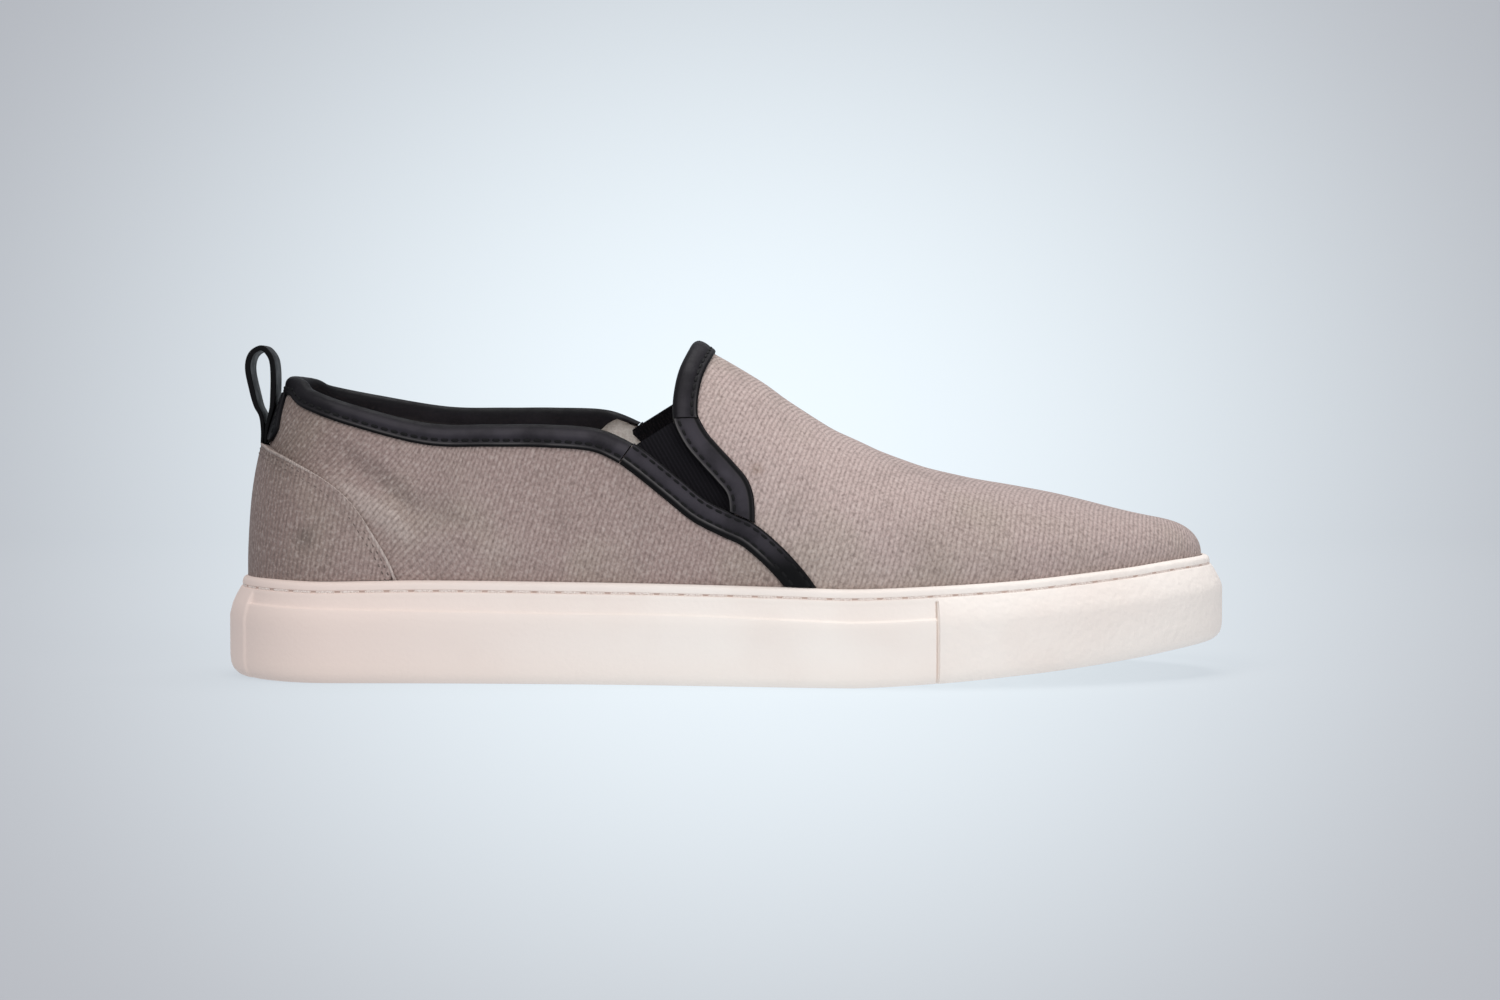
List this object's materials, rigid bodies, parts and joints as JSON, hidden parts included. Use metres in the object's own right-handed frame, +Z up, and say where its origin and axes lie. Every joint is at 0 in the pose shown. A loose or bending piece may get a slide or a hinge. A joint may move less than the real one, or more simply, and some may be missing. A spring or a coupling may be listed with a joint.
{
  "type": "slip-on sneaker",
  "caption": "Slip-on canvas sneaker for the right foot, with a leather-bound collar and throat, elastic side gores, a heel pull loop and a stitched rubber cupsole.",
  "frame": {"origin": "on the ground, at the middle of the sole's length and width", "axes": "+X to the toe, +Y to the inner side of the foot, +Z up"},
  "size_m": [0.2976, 0.1051, 0.1003],
  "materials": {
    "sole_rubber": "matt off-white rubber",
    "canvas": "coarse greige canvas",
    "black_leather": "smooth black leather",
    "elastic": "matt black ribbed elastic",
    "lining_cloth": "light greige woven lining"
  },
  "bodies": {
    "root": {"cupsole": "sole_rubber", "insole": "lining_cloth", "upper": "canvas", "heel_counter": "canvas", "collar_binding": "black_leather", "throat_binding": "black_leather", "pull_loop": "black_leather", "outer_gore": "elastic", "inner_gore": "elastic", "outer_rear_strip": "black_leather", "inner_rear_strip": "black_leather", "outer_front_strip": "black_leather", "inner_front_strip": "black_leather"}
  },
  "joints": []
}
